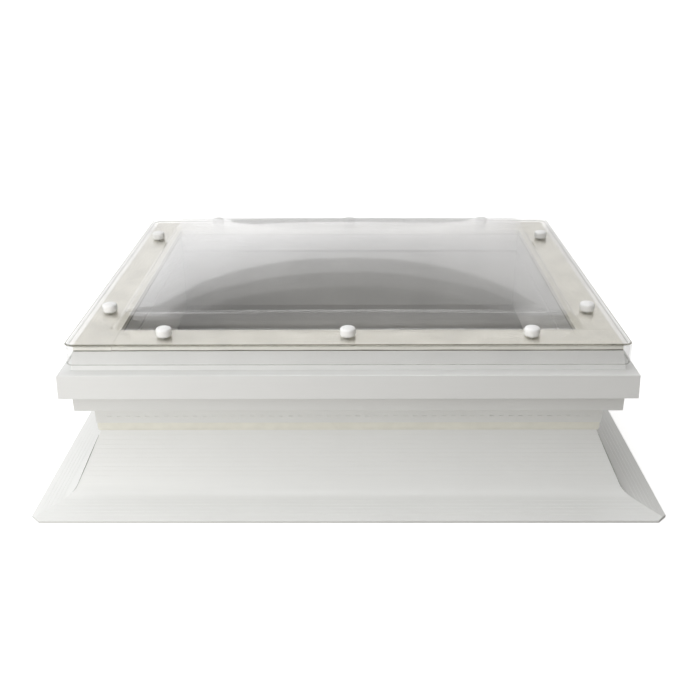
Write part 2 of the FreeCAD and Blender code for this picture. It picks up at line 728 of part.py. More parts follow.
def across(body, name, outlines, width, circles=()):
    """Pads outlines and circles of the section to width, centred on the section's plane."""
    sketch = new_sketch(body, name, "XZ_Plane")
    for outline in outlines:
        add_outline(sketch, outline)
    for x, z, radius in circles:
        add_circle(sketch, x, z, radius)
    return pad(body, sketch, width, midplane=True)


def bore(body, name, x, z, radius, width="through"):
    sketch = new_sketch(body, name, "XZ_Plane")
    add_circle(sketch, x, z, radius)
    return pocket(body, sketch, width)


def skirt_face(level, away="0"):
    """x of the skirt's outer face at a level, moved away from it."""
    return f"skirt_out + (shelf_out - {level}) * {SKIRT_LEAN} + {away}"


def place_hinge(body, x):
    """Puts a hinge piece, drawn on the section, at x on the back side."""
    turn = FreeCAD.Rotation(FreeCAD.Vector(0, 0, 1), SIDES["back"])
    body.Placement = FreeCAD.Placement(FreeCAD.Vector(0, 0, 0), turn)
    body.setExpression("Placement.Base.x", bound(x))
    body.setExpression("Placement.Base.y", bound("open_y / 2"))


def upper_leaf(name, x):
    body = new_body(name)
    across(body, "leaf", [[
        (skirt_face("leaf_top"), "leaf_top"), (skirt_face("leaf_top", "leaf"), "leaf_top"),
        (skirt_face("leaf_foot", "leaf"), "leaf_foot"), ("pivot_out + 1", "pivot_level + 5"),
        ("pivot_out - 5", "pivot_level + 2"), (skirt_face("leaf_foot"), "leaf_foot"),
    ]], "hinge_width")
    across(body, "knuckles", [], "hinge_width", [("pivot_out", "pivot_level", "knuckle")])
    notch = new_sketch(body, "notch", "XZ_Plane")
    add_outline(notch, [
        ("pivot_out - 12", "pivot_level - 12"), ("pivot_out + 12", "pivot_level - 12"),
        ("pivot_out + 12", "leaf_foot"), ("pivot_out - 12", "leaf_foot"),
    ])
    pocket(body, notch, "knuckle_middle + 2 * knuckle_gap")
    bore(body, "pin_bore", "pivot_out", "pivot_level", "pin")
    spots = [(f"{end} * rivet_x", "sash_rivet_level") for end in (-1, 0, 1)]
    drill_across(body, "rivet", spots, "rivet_hole", "skirt_out", "through")
    place_hinge(body, x)


def lower_leaf(name, x):
    body = new_body(name)
    across(body, "leaf", [[
        ("frame_out", "leg_foot"), ("frame_out + leaf", "leg_foot"),
        ("frame_out + leaf", "pivot_level - knuckle"),
        ("frame_out + bend_out", "pivot_level - knuckle"),
        ("frame_out + bend_out", "pivot_level - knuckle + leaf"),
        ("frame_out", "pivot_level - knuckle + leaf"),
    ]], "hinge_width")
    across(body, "arm", [[
        ("frame_out", "pivot_level - knuckle"), ("pivot_out", "pivot_level - knuckle"),
        ("pivot_out", "pivot_level - knuckle + arm"), ("frame_out", "pivot_level - knuckle + arm"),
    ]], "knuckle_middle")
    across(body, "knuckle", [], "knuckle_middle", [("pivot_out", "pivot_level", "knuckle")])
    bore(body, "pin_bore", "pivot_out", "pivot_level", "pin + pin_play")
    spots = [(f"{end} * rivet_x", "frame_rivet_level") for end in (-1, 1)]
    drill_across(body, "rivet", spots, "rivet_hole", "frame_out", "through")
    place_hinge(body, x)


def hinge_pin(name, x):
    body = new_body(name)
    across(body, "shank", [], "hinge_width + 3", [("pivot_out", "pivot_level", "pin")])
    place_hinge(body, x)


for hand, x in (("left", "-hinge_x"), ("right", "hinge_x")):
    upper_leaf(f"hinge_sash_leaf_{hand}", x)
    lower_leaf(f"hinge_frame_leaf_{hand}", x)
    hinge_pin(f"hinge_pin_{hand}", x)


def rivet_outline(grip):
    """A rivet: the seat of its head at z = 0, and a tail behind the grip."""
    return [("0", f"-({grip}) - 1.5"), ("rivet_tail", f"-({grip}) - 1.5"), ("rivet_tail", f"-({grip})"),
            ("rivet", f"-({grip})"), ("rivet", "0"), ("rivet_head", "0"),
            ("rivet_head", "0.4 * rivet_head_height"), ("0.6 * rivet_head", "rivet_head_height"),
            ("0", "rivet_head_height")]


def rivet_points(spots, out, lean=0.0):
    """Placements on the back side whose Z points out of the face, at x = out of the section."""
    turn = FreeCAD.Rotation(FreeCAD.Vector(1, 0, 0), -90 + lean)
    return [at(-size(y), size("open_y") / 2 + size(out), size(z), turn) for y, z in spots]


lean = math.degrees(math.atan(size(SKIRT_LEAN)))
repeat("hinge_sash_rivets", turned("sash_rivet_blank", rivet_outline("leaf + skirt_wall + 0.12")),
       rivet_points(sash_rivets(), skirt_face("sash_rivet_level", "leaf"), lean))
repeat("hinge_frame_rivets", turned("frame_rivet_blank", rivet_outline("leaf + frame_wall")),
       rivet_points(frame_rivets(), "frame_out + leaf"))


# ---- spindle opener ------------------------------------------------------------------------------

def place_opener(body):
    """Puts a piece whose Z axis is the spindle's axis in the middle of the front side."""
    body.setExpression("Placement.Base.y", bound("opener_in - open_y / 2"))


def bar_across(body, name, level, radius, width):
    """A round bar along X, centred on the spindle's axis."""
    sketch = new_sketch(body, name, "YZ_Plane")
    add_circle(sketch, "0", level, radius)
    return pad(body, sketch, width, midplane=True)


def bore_across(body, name, level, radius):
    sketch = new_sketch(body, name, "YZ_Plane")
    add_circle(sketch, "0", level, radius)
    return pocket(body, sketch, "through")


def bracket(name, plate_foot, plate_top, plate_width, ear_in, level, radius, screws):
    """A plate on the front side's inner face, with two ears that carry a pivot."""
    body = new_body(name)
    across(body, "wall_plate", [[
        ("0", plate_foot), ("0", plate_top), ("-plate", plate_top), ("-plate", plate_foot),
    ]], plate_width)
    across(body, "ears", [[
        ("-plate / 2", f"{level} - 0.9 * ear_round"), ("-plate / 2", f"{level} + 0.9 * ear_round"),
        ("-opener_in", f"{level} + 0.9 * ear_round"), ("-opener_in", f"{level} - 0.9 * ear_round"),
    ]], f"2 * ({ear_in} + ear)")
    across(body, "ear_ends", [], f"2 * ({ear_in} + ear)", [("-opener_in", level, "ear_round")])
    gap = new_sketch(body, "gap", "XZ_Plane")
    add_outline(gap, [
        ("-plate", f"{level} - 20"), ("-plate", f"{level} + 20"),
        ("-opener_in - 20", f"{level} + 20"), ("-opener_in - 20", f"{level} - 20"),
    ])
    pocket(body, gap, f"2 * {ear_in}")
    bore(body, "pivot", "-opener_in", level, radius)
    drill_across(body, "screw", screws, "plate_screw", "0")
    place_side(body, "front")


bracket("opener_wall_bracket", "wall_plate_foot", "wall_plate_top", "wall_plate_width",
        "trunnion_ear_in", "trunnion_level", "trunnion_bore", WALL_PLATE_SCREWS)
bracket("opener_sash_bracket", "sash_plate_foot", "sash_plate_top", "sash_plate_width",
        "eye_ear_in", "eye_level", "eye_pin", SASH_PLATE_SCREWS)

collar = turned("opener_collar", [
    ("0", "trunnion_level - collar_height / 2"), ("collar", "trunnion_level - collar_height / 2"),
    ("collar", "trunnion_level + collar_height / 2"), ("0", "trunnion_level + collar_height / 2"),
])
bar_across(collar, "trunnions", "trunnion_level", "trunnion", "2 * (trunnion_ear_in + ear + 1)")
clear = new_sketch(collar, "clear", "XY_Plane")
add_circle(clear, "0", "0", "tube")
pocket(collar, clear)
place_opener(collar)

place_opener(turned("opener_tube", [
    ("screw_bore", "tube_foot"), ("tube", "tube_foot"), ("tube", "tube_top"), ("tube_bore", "tube_top"),
    ("tube_bore", "tube_foot + tube_end"), ("screw_bore", "tube_foot + tube_end"),
]))
place_opener(turned("opener_guide", [
    ("guide_bore", "tube_top - guide_height"), ("tube_bore", "tube_top - guide_height"),
    ("tube_bore", "tube_top"), ("tube", "tube_top"), ("tube", "tube_top + 2"),
    ("guide_bore", "tube_top + 2"),
]))

rod = turned("opener_rod", [
    ("screw_bore", "rod_foot"), ("nut", "rod_foot"), ("nut", "rod_foot + nut_height"),
    ("rod", "rod_foot + nut_height"), ("rod", "eye_level"), ("0", "eye_level"),
    ("0", "rod_bore_top"), ("screw_bore", "rod_bore_top"),
])
bar_across(rod, "eye", "eye_level", "rod_eye", "rod_eye_width")
bore_across(rod, "eye_bore", "eye_level", "eye_bore")
place_opener(rod)

eye_pin = new_body("opener_eye_pin")
bar_across(eye_pin, "shank", "eye_level", "eye_pin", "2 * (eye_ear_in + ear + 1.5)")
place_opener(eye_pin)


def solid_of(kind, name, sizes, level, turn=None):
    """A Part primitive on the spindle's axis, its sizes and its level bound to the sheet."""
    feature = doc.addObject(f"Part::{kind}", name)
    for prop, text in sizes.items():
        feature.setExpression(prop, bound(text))
    if turn is not None:
        feature.Placement = at(0, 0, 0, turn)
    feature.setExpression("Placement.Base.z", bound(level))
    return feature


crank = doc.addObject("Part::MultiFuse", "opener_crank")
crank.Label = "opener_crank"
upright = FreeCAD.Rotation(FreeCAD.Vector(1, 0, 0), 90)
crank.Shapes = [
    solid_of("Cylinder", "crank_screw", {"Radius": "screw", "Height": "screw_top - head_foot"},
             "head_foot"),
    solid_of("Cylinder", "crank_head", {
        "Radius": "head", "Height": "tube_foot - head_play - head_foot",
    }, "head_foot"),
    solid_of("Torus", "crank_ring", {"Radius1": "ring", "Radius2": "ring_wire"}, "ring_level", upright),
]
place_opener(crank)
parts.append(crank)


def plate_screws(spots):
    """Placements on the front side whose Z points inwards, on the plate's face."""
    turn = FreeCAD.Rotation(FreeCAD.Vector(1, 0, 0), -90)
    inner = size("plate") - size("open_y") / 2
    return [at(size(y), inner, size(z), turn) for y, z in spots]


blank_outline = screw_outline("plate_screw", "plate_screw_length", "plate_screw_head",
                              "plate_screw_head_height")
repeat("opener_wall_screws", turned("wall_screw_blank", blank_outline), plate_screws(WALL_PLATE_SCREWS))
repeat("opener_sash_screws", turned("sash_screw_blank", blank_outline), plate_screws(SASH_PLATE_SCREWS))


# ---- checks and files ----------------------------------------------------------------------------

def check_document():
    """Stops if any object of the document failed, or if a sub-part has no sound shape."""
    doc.recompute()
    for item in doc.Objects:
        if "Invalid" in item.State or "Error" in item.State:
            raise RuntimeError(f"{item.Name} failed: {item.State}")
    labels = [item.Label for item in parts]
    if len(set(labels)) != len(labels):
        raise RuntimeError("two sub-parts have the same label")
    for item in parts:
        shape = item.Shape
        if shape.isNull() or not shape.isValid() or not shape.Solids:
            raise RuntimeError(f"{item.Label} has no sound shape")


def write_parts():
    os.makedirs("parts", exist_ok=True)
    for item in parts:
        item.Shape.exportStep(os.path.join("parts", item.Label + ".step"))
        print(f"{item.Label}: {item.Shape.Volume / 1000:.1f} cm3, {len(item.Shape.Solids)} solid(s)")


check_document()
write_parts()
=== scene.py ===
import math

import bmesh
import bpy
from mathutils import Matrix, Vector, noise


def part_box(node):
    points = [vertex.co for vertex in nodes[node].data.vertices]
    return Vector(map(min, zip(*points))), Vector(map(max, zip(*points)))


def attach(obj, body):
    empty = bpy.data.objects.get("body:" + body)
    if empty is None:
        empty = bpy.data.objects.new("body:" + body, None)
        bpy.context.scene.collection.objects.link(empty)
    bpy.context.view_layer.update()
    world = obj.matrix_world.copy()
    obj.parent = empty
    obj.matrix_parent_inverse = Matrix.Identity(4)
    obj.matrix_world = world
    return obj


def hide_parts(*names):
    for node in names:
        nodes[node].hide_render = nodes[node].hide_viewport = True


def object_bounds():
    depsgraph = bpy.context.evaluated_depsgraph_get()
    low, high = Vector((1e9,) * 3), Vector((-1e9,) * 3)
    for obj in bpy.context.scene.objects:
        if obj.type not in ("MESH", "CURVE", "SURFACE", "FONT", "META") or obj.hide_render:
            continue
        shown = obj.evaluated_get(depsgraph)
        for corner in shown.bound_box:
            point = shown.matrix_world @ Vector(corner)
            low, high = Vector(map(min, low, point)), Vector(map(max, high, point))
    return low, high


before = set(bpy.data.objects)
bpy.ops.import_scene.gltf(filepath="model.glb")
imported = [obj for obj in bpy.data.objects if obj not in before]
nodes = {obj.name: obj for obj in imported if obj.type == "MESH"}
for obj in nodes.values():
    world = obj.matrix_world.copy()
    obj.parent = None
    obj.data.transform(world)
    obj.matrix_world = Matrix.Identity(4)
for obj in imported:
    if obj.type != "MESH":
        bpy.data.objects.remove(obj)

cad_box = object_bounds()
scene = bpy.context.scene

MM = 0.001


# ---- positions that come from the frame ----------------------------------------------------------

FLANGE = 80              # the dome's flange reaches this far past the clear opening, in millimetres
dome_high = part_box("dome_outer")[1]
HALF_X = dome_high[0] - FLANGE * MM
HALF_Y = dome_high[1] - FLANGE * MM
cap_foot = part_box("screw_caps")[0][2]


# ---- dimensions of the pieces made here, in millimetres ------------------------------------------

# The outer skin's flange: its lip's foot and top, its bend, its face and its corners' radius.
LIP_FOOT = 268
OUTER_FACE = 305
LIP_BEND = 3.5
FLANGE_CORNER = 14
# The clear skins, from outside in: where the step meets the flange, where its top edge is, the level
# of the flange, the level of the step's top, the crown's rise, the sheet's thickness and a seed.
OUTER = {"joint": 12, "step": -8, "top": OUTER_FACE, "rise": 332, "crown": 46, "seed": 3.1}
MIDDLE = {"joint": 5, "step": -12, "top": 302, "rise": 321, "crown": 36, "seed": 7.7}
INNER = {"joint": -1, "step": -16, "top": 300.5, "rise": 311, "crown": 27.5, "seed": 12.3}
OUTER_SHEET = 2.95
INNER_SHEET = 1.4
# How far the step's rounded top edge lies below the sharp one, ring by ring inwards.
OUTER_ROUND = (1.5, 0.75, 0.3, 0.08)
INNER_ROUND = (0.0,)
OUTER_PITCH = 1.15       # from ring to ring across that edge
INNER_PITCH = 0.1
STEP_FOOT = 4.0          # the radius of the bend at the step's foot
STEP_CORNER = 13
CROWN_CORNER = 11
PUCKER_REACH = 70        # how far from a corner the sheet gathers, and by how much at the most
PUCKER_HEIGHT = 2.2
# The rows of faces, counted from the outside, in the upper half of the lip's bend, and all those on
# the flange and the step of the two lower skins.
BEND_ROWS = range(7, 10)
LOWER_ROWS = range(0, 17)

FIXING_OUT = 37          # from the clear opening's edge to the line of screws
FIXING_X = 316
FIXING_Y = 223
CAP_RADIUS = 13.5
CAP_WALL = 1.2

MITRE_START = 118 * MM   # the groove in a kerb mitre runs between these levels
MITRE_END = 22 * MM
MITRE_GAP = 0.75 * MM    # half its width
FOOT_SHADE_TOP = -0.64          # top of the dark band painted along a strip's foot as shade of the gap under it, in half heights from the strip's middle


# ---- materials -----------------------------------------------------------------------------------

class Nodes:
    """A node tree being built: nodes by short calls, linked as they are made."""

    def __init__(self, owner, output):
        owner.use_nodes = True
        self.owner = owner
        self.tree = owner.node_tree
        self.tree.nodes.clear()
        self.output = self.new(output)

    def new(self, kind, **settings):
        node = self.tree.nodes.new("ShaderNode" + kind)
        for key, value in settings.items():
            setattr(node, key, value)
        return node

    def link(self, source, target):
        self.tree.links.new(source, target)

    def coords(self, scale=(1, 1, 1)):
        """Object coordinates, stretched."""
        texture = self.new("TexCoord")
        mapping = self.new("Mapping")
        mapping.inputs["Scale"].default_value = scale
        self.link(texture.outputs["Object"], mapping.inputs["Vector"])
        return mapping.outputs["Vector"]

    def noise(self, size, detail=3.0, rough=0.5, stretch=(1, 1, 1)):
        """Noise with features about size metres across."""
        node = self.new("TexNoise")
        node.inputs["Scale"].default_value = 1.0 / size
        node.inputs["Detail"].default_value = detail
        node.inputs["Roughness"].default_value = rough
        self.link(self.coords(stretch), node.inputs["Vector"])
        return node.outputs["Fac"]

    def span(self, value, low, high, start=0.3, end=0.7):
        """Maps a value from start..end to low..high."""
        node = self.new("MapRange")
        node.inputs["From Min"].default_value = start
        node.inputs["From Max"].default_value = end
        node.inputs["To Min"].default_value = low
        node.inputs["To Max"].default_value = high
        self.link(value, node.inputs["Value"])
        return node.outputs["Result"]

    def colours(self, value, low, high, start=0.3, end=0.7):
        """A colour between low and high as value goes from start to end."""
        return self.ramp(value, ((start, low), (end, high)))

    def ramp(self, value, stops):
        """A colour ramp through stops of (position, colour)."""
        node = self.new("ValToRGB")
        elements = node.color_ramp.elements
        for element, (position, colour) in zip(elements, (stops[0], stops[-1])):
            element.position = position
            element.color = (*colour, 1)
        for position, colour in stops[1:-1]:
            elements.new(position).color = (*colour, 1)
        self.link(value, node.inputs["Fac"])
        return node.outputs["Color"]

    def mix(self, factor, a, b, blend="MIX"):
        node = self.new("Mix", data_type="RGBA", blend_type=blend)
        if isinstance(factor, float):
            node.inputs["Factor"].default_value = factor
        else:
            self.link(factor, node.inputs["Factor"])
        for value, index in ((a, 6), (b, 7)):
            if isinstance(value, tuple):
                node.inputs[index].default_value = (*value, 1)
            else:
                self.link(value, node.inputs[index])
        return node.outputs[2]

    def maths(self, operation, a, b):
        node = self.new("Math", operation=operation)
        for value, index in ((a, 0), (b, 1)):
            if isinstance(value, (int, float)):
                node.inputs[index].default_value = value
            else:
                self.link(value, node.inputs[index])
        return node.outputs[0]

    def bump(self, height, distance, strength=1.0, under=None):
        """A bump normal of up to distance metres."""
        node = self.new("Bump")
        node.inputs["Strength"].default_value = strength
        node.inputs["Distance"].default_value = distance
        self.link(height, node.inputs["Height"])
        if under is not None:
            self.link(under, node.inputs["Normal"])
        return node.outputs["Normal"]

    def mix_shaders(self, share, first, second):
        """The second shader by share, the first for the rest."""
        join = self.new("MixShader")
        if isinstance(share, float):
            join.inputs[0].default_value = share
        else:
            self.link(share, join.inputs[0])
        self.link(first.outputs[0], join.inputs[1])
        self.link(second.outputs[0], join.inputs[2])
        return join

    def principled(self, colour, roughness, normal=None, **values):
        shader = self.new("BsdfPrincipled")
        self.link(colour, shader.inputs["Base Color"])
        self.link(roughness, shader.inputs["Roughness"])
        if normal is not None:
            self.link(normal, shader.inputs["Normal"])
        for key, value in values.items():
            shader.inputs[key.replace("_", " ")].default_value = value
        return shader

    def finish(self, shader):
        self.link(shader.outputs[0], self.output.inputs["Surface"])
        return self.owner


def new_material(name):
    return Nodes(bpy.data.materials.new(name), "OutputMaterial")


def scaled(colour, factor):
    return tuple(channel * factor for channel in colour)


ALONG_X = (0.04, 1, 1)
ALONG_Y = (1, 0.04, 1)


def extruded_pvc(name, colour, along, rough=(0.34, 0.46)):
    """White extruded PVC: faint die lines along the section, a soft sheen and slight mottling."""
    m = new_material(name)
    lines = m.noise(2.2 * MM, 2.0, 0.6, along)
    cloud = m.noise(0.14, 3.0, 0.55)
    grain = m.noise(0.7 * MM, 2.0)
    tone = m.colours(cloud, scaled(colour, 0.972), colour)
    tone = m.mix(0.35, tone, m.colours(lines, scaled(colour, 0.965), scaled(colour, 1.0)))
    relief = m.bump(lines, 0.012 * MM, 0.5)
    relief = m.bump(grain, 0.012 * MM, 0.4, relief)
    roughness = m.span(m.maths("ADD", m.maths("MULTIPLY", lines, 0.5), m.maths("MULTIPLY", cloud, 0.5)),
                       *rough, 0.35, 0.65)
    return m.finish(m.principled(tone, roughness, relief, IOR=1.5))


def plain_moulding(name, colour, rough, grain_size=0.5 * MM, grain=0.02 * MM, **values):
    """Moulded or rubbery material: fine grain and slight tone changes."""
    m = new_material(name)
    cloud = m.noise(0.02, 3.0)
    fine = m.noise(grain_size, 2.0)
    tone = m.colours(cloud, scaled(colour, 0.94), colour)
    relief = m.bump(fine, grain, 0.5)
    return m.finish(m.principled(tone, m.span(cloud, *rough), relief, **values))


def foam(name, colour):
    """Closed-cell foam: fine cells, a dull skin."""
    m = new_material(name)
    cells = m.new("TexVoronoi")
    cells.inputs["Scale"].default_value = 1 / (1.3 * MM)
    m.link(m.coords(), cells.inputs["Vector"])
    cloud = m.noise(0.05, 3.0)
    tone = m.colours(cloud, scaled(colour, 0.93), colour)
    tone = m.mix(0.3, tone, m.colours(cells.outputs["Distance"], scaled(colour, 0.86), colour, 0.0, 0.6))
    relief = m.bump(cells.outputs["Distance"], 0.25 * MM, 0.5)
    return m.finish(m.principled(tone, m.span(cloud, 0.75, 0.9), relief, IOR=1.35))


def metal(name, colour, rough, stretch=(1, 1, 1)):
    """Bright metal with a drawn finish."""
    m = new_material(name)
    drawn = m.noise(0.8 * MM, 3.0, 0.6, stretch)
    cloud = m.noise(0.015, 2.0)
    tone = m.colours(cloud, scaled(colour, 0.88), colour)
    relief = m.bump(drawn, 0.02 * MM, 0.6)
    return m.finish(m.principled(tone, m.span(drawn, *rough), relief, Metallic=1.0))


def clear_acrylic(name, tint, ripple):
    """A clear thin wall without refraction: it mirrors by Schlick's form of Fresnel's law and lets the
    rest through, faintly tinted."""
    m = new_material(name)
    slow = m.noise(0.09, 2.0, 0.4)
    fine = m.noise(0.012, 2.0, 0.5)
    relief = m.bump(slow, ripple, 1.0)
    relief = m.bump(fine, 0.04 * MM, 0.5, relief)
    clear = m.new("BsdfTransparent")
    m.link(m.colours(slow, scaled(tint, 0.985), tint), clear.inputs["Color"])
    mirror = m.new("BsdfAnisotropic")
    mirror.inputs["Color"].default_value = (1, 1, 1, 1)
    m.link(m.span(fine, 0.02, 0.05), mirror.inputs["Roughness"])
    m.link(relief, mirror.inputs["Normal"])
    facing = m.new("LayerWeight")
    facing.inputs["Blend"].default_value = 0.5
    m.link(relief, facing.inputs["Normal"])
    glancing = m.maths("POWER", facing.outputs["Facing"], 5.0)
    share = m.maths("ADD", m.maths("MULTIPLY", glancing, 0.96), 0.04)
    return m.finish(m.mix_shaders(share, clear, mirror))


def pressed_acrylic(name, tint):
    """Clear sheet that mirrors only 1 percent, for the flange and the step of a lower skin. It suits a
    flange pressed on its neighbour; on the step it is there for the photograph's look."""
    m = new_material(name)
    cloud = m.noise(0.05, 2.0)
    clear = m.new("BsdfTransparent")
    m.link(m.colours(cloud, scaled(tint, 0.98), tint), clear.inputs["Color"])
    sheen = m.new("BsdfAnisotropic")
    sheen.inputs["Color"].default_value = (1, 1, 1, 1)
    m.link(m.span(cloud, 0.2, 0.3), sheen.inputs["Roughness"])
    return m.finish(m.mix_shaders(0.01, clear, sheen))


def edge_acrylic(name, tint, body_share):
    """A tight bend or a cut edge of clear sheet, made dark: partly the olive of its own body seen edge-on,
    partly painted shade for the dark that refraction gives there and this wall without refraction lacks.
    """
    m = new_material(name)
    cloud = m.noise(0.03, 3.0)
    clear = m.new("BsdfTransparent")
    m.link(m.colours(cloud, scaled(tint, 0.8), tint), clear.inputs["Color"])
    body = m.principled(m.colours(cloud, (0.10, 0.10, 0.08), (0.20, 0.19, 0.15)),
                        m.span(cloud, 0.08, 0.2), IOR=1.49)
    return m.finish(m.mix_shaders(body_share, clear, body))


KERB_WHITE = (0.80, 0.805, 0.79)
SASH_WHITE = (0.80, 0.805, 0.795)
FRAME_WHITE = (0.78, 0.785, 0.77)
CLIP_WHITE = (0.78, 0.785, 0.765)
CREAM = (0.82, 0.81, 0.73)

for side, along in (("front", ALONG_X), ("back", ALONG_X), ("left", ALONG_Y), ("right", ALONG_Y)):
    for part, colour in (("kerb", KERB_WHITE), ("sash_frame", SASH_WHITE),
                         ("fixed_frame", FRAME_WHITE), ("membrane_clip", CLIP_WHITE)):
        looks = extruded_pvc(f"{part}_{side}_pvc", colour, along)
        for held in nodes[f"{part}_{side}"].material_slots:
            held.material = looks


def repaint(material, *names):
    """Gives CAD nodes a material."""
    for name in names:
        for held in nodes[name].material_slots:
            held.material = material


repaint(plain_moulding("clip_lip_pvc", CREAM, (0.45, 0.6)), "membrane_clip_lips")
repaint(foam("insulation_foam", (0.72, 0.62, 0.36)), "kerb_insulation")
repaint(plain_moulding("seal_rubber", (0.03, 0.03, 0.03), (0.5, 0.7)), "weather_seal")
repaint(plain_moulding("washer_rubber", (0.80, 0.80, 0.78), (0.5, 0.7)), "dome_washers")
repaint(metal("zinc_screws", (0.62, 0.62, 0.60), (0.25, 0.45)), "dome_screws", "frame_screws",
        "opener_wall_screws", "opener_sash_screws")
repaint(metal("stainless", (0.50, 0.50, 0.49), (0.32, 0.48), (1, 1, 8)), "hinge_sash_leaf_left",
        "hinge_sash_leaf_right", "hinge_frame_leaf_left", "hinge_frame_leaf_right")
repaint(metal("pin_steel", (0.7, 0.7, 0.69), (0.15, 0.3), (0.1, 1, 1)), "hinge_pin_left",
        "hinge_pin_right", "opener_eye_pin")
repaint(metal("rivet_aluminium", (0.78, 0.78, 0.79), (0.3, 0.45)), "hinge_sash_rivets",
        "hinge_frame_rivets")
repaint(plain_moulding("white_enamel", (0.78, 0.78, 0.77), (0.22, 0.34), Coat_Weight=0.4),
        "opener_wall_bracket", "opener_sash_bracket", "opener_tube")
repaint(plain_moulding("white_nylon", (0.72, 0.72, 0.69), (0.4, 0.55)), "opener_collar",
        "opener_guide")
repaint(metal("chromed_steel", (0.75, 0.75, 0.76), (0.08, 0.2), (1, 1, 0.1)), "opener_rod",
        "opener_crank")


# ---- geometry helpers ----------------------------------------------------------------------------

def add_piece(name, mesh, body, slot_name, material, *replaced):
    """A smooth piece that rides on a body and may stand for CAD nodes."""
    piece = bpy.data.objects.new(name, mesh)
    scene.collection.objects.link(piece)
    mesh.materials.append(material)
    for polygon in mesh.polygons:
        polygon.use_smooth = True
    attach(piece, body)
    if replaced:
        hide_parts(*replaced)
    return piece


def rounded_ring(half_x, half_y, corner, straight=22, turn=8):
    """Points of a rounded rectangle, anticlockwise, the same count whatever its size."""
    points = []
    corner = min(corner, half_x, half_y)
    centres = ((1, 1), (-1, 1), (-1, -1), (1, -1))
    for k, (sx, sy) in enumerate(centres):
        cx, cy = sx * (half_x - corner), sy * (half_y - corner)
        for step in range(turn + 1):
            angle = math.pi / 2 * (k + step / turn)
            points.append((cx + corner * math.cos(angle), cy + corner * math.sin(angle)))
        nx, ny = centres[(k + 1) % 4]
        end_angle = math.pi / 2 * (k + 1)
        start = Vector(points[-1])
        end = Vector((nx * (half_x - corner) + corner * math.cos(end_angle),
                      ny * (half_y - corner) + corner * math.sin(end_angle)))
        for step in range(1, straight):
            points.append(tuple(start.lerp(end, step / straight)))
    return points


def finished_mesh(name, build):
    """The mesh of what was built, its faces turned outwards."""
    bmesh.ops.recalc_face_normals(build, faces=build.faces)
    mesh = bpy.data.meshes.new(name)
    build.to_mesh(mesh)
    build.free()
    return mesh


def mesh_from_rings(name, rings):
    """A skin through rings of points of equal count, closed at its last ring."""
    build = bmesh.new()
    rows = [[build.verts.new(point) for point in ring] for ring in rings]
    count = len(rows[0])
    for low, high in zip(rows, rows[1:]):
        for k in range(count):
            j = (k + 1) % count
            build.faces.new((low[k], low[j], high[j], high[k]))
    middle = build.verts.new(sum((vert.co for vert in rows[-1]), Vector()) / count)
    for k in range(count):
        build.faces.new((rows[-1][k], rows[-1][(k + 1) % count], middle))
    return finished_mesh(name, build)


# ---- domes ---------------------------------------------------------------------------------------

def arc(centre, radius, start, end, steps=5):
    """Section points (out, level) on an arc, in degrees."""
    points = []
    for k in range(steps + 1):
        angle = math.radians(start + (end - start) * k / steps)
        points.append((centre[0] + radius * math.cos(angle), centre[1] + radius * math.sin(angle)))
    return points


def dome_rings(edge, joint, step, top, rise, crown, seed, rounding, pitch):
    """Rings of a skin's upper face: edge holds (out, level, corner) rows up to the flange, and
    rounding holds how far the step's top edge lies below the sharp one, ring by ring inwards."""
    rings = []
    for out, level, corner in edge:
        ring = rounded_ring(HALF_X + out * MM, HALF_Y + out * MM, corner * MM)
        rings.append([(x, y, level * MM) for x, y in ring])
    for out, level in step_section(joint, step, top, rise):
        ring = rounded_ring(HALF_X + out * MM, HALF_Y + out * MM, STEP_CORNER * MM)
        rings.append([pucker(x, y, level * MM, seed) for x, y in ring])
    a, b = HALF_X + step * MM, HALF_Y + step * MM
    shares = [1.0 - pitch * MM / b * k for k in range(0, 5)]
    shares += [shares[-1] * (1 - k / 34) for k in range(1, 34)]
    for index, share in enumerate(shares):
        drop = rounding[index] * MM if index < len(rounding) else 0
        edge_fade = min(1.0, (1 - share) * 8)
        points = []
        for x, y in rounded_ring(a * share, b * share, CROWN_CORNER * MM * share):
            lift = crown * MM * (1 - (x / a) ** 2) * (1 - (y / b) ** 2)
            wave = noise.noise(Vector((x * 5 + seed, y * 5, seed))) * 0.5 * MM * edge_fade
            points.append(pucker(x, y, rise * MM + lift - drop + wave, seed))
        rings.append(points)
    return rings


def step_section(joint, step, top, rise):
    """The step's section, (out, level) points: the bend at its foot and its slope."""
    slope = math.degrees(math.atan2(rise - top, joint - step))
    bend = STEP_FOOT * math.tan(math.radians(slope / 2))
    section = [(joint + bend + 1, top)]
    section += arc((joint + bend, top + STEP_FOOT), STEP_FOOT, 270, 270 - slope, 5)
    length = (rise - top) / math.sin(math.radians(slope))
    along = (math.cos(math.radians(slope)), math.sin(math.radians(slope)))
    for share in (0.3, 0.45, 0.6, 0.75, 0.9, 0.97):
        section.append((joint - share * length * along[0], top + share * length * along[1]))
    return section


def pucker(x, y, z, seed):
    """The sheet gathers a little where the step turns a corner."""
    away = math.hypot(HALF_X - abs(x), HALF_Y - abs(y))
    strength = max(0.0, 1 - away / (PUCKER_REACH * MM))
    gather = noise.noise(Vector((x * 95 + seed, y * 95, z * 60))) * PUCKER_HEIGHT * MM * strength
    return (x, y, z + gather)


def skin_piece(kind, rings, thickness, material, second, second_rows):
    """One clear skin of the dome; the faces between some of its rings take a second material."""
    mesh = mesh_from_rings(f"{kind}_skin", rings)
    piece = add_piece(f"{kind}_skin", mesh, "sash", f"{kind}_acrylic", material, f"dome_{kind}")
    mesh.materials.append(second)
    mesh.materials.append(cut_looks)
    count = len(rings[0])
    for row in second_rows:
        for polygon in list(mesh.polygons)[row * count:(row + 1) * count]:
            polygon.material_index = 1
    solid = piece.modifiers.new("thickness", "SOLIDIFY")
    solid.thickness = thickness * MM
    solid.offset = -1
    solid.material_offset_rim = 2


